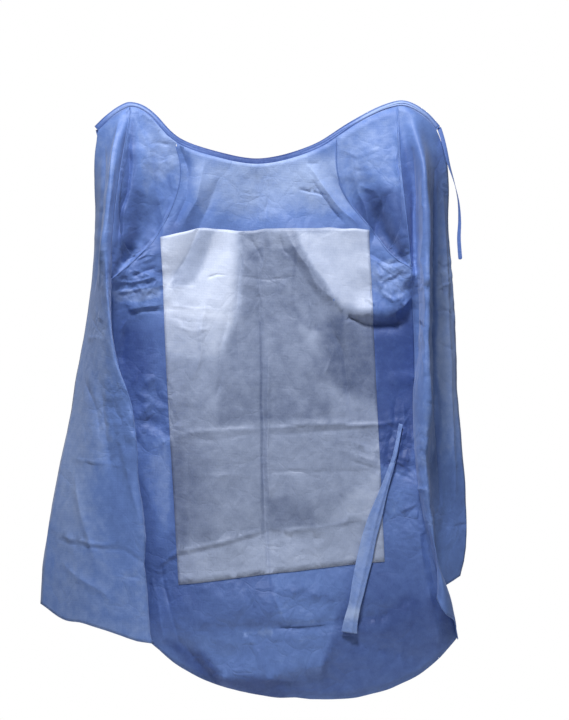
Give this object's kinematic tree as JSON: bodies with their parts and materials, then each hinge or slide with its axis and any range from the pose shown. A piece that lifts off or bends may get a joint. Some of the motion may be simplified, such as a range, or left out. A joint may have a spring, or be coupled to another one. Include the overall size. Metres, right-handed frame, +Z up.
{
  "type": "surgical gown",
  "caption": "Disposable long-sleeved surgical gown with a reinforced front, held up wide by its neck edge and seen from its open back.",
  "frame": {"origin": "midway between the two places where the neck edge is held, at their height", "axes": "+Z up; +X to the wearer's right, which is the viewer's right; +Y through the front panel to the outside of the gown, away from the viewer, who looks into the open back along +Y"},
  "size_m": [0.9317, 0.2456, 1.2828],
  "materials": {
    "nonwoven_cloth": "blue spunbond nonwoven polypropylene, matt with a faint sheen",
    "reinforcement_film": "pale blue-grey film-backed nonwoven, matt",
    "cuff_knit": "white ribbed knit",
    "binding_tape": "folded blue nonwoven binding, matt"
  },
  "bodies": {
    "root": {"front_panel": "nonwoven_cloth", "reinforcement_panel": "reinforcement_film", "back_panel_left": "nonwoven_cloth", "back_panel_right": "nonwoven_cloth", "sleeve_left": "nonwoven_cloth", "sleeve_right": "nonwoven_cloth", "cuff_left": "cuff_knit", "cuff_right": "cuff_knit", "neck_binding": "binding_tape", "neck_tie_left": "binding_tape", "neck_tie_right": "binding_tape", "waist_belt": "nonwoven_cloth"}
  },
  "joints": []
}
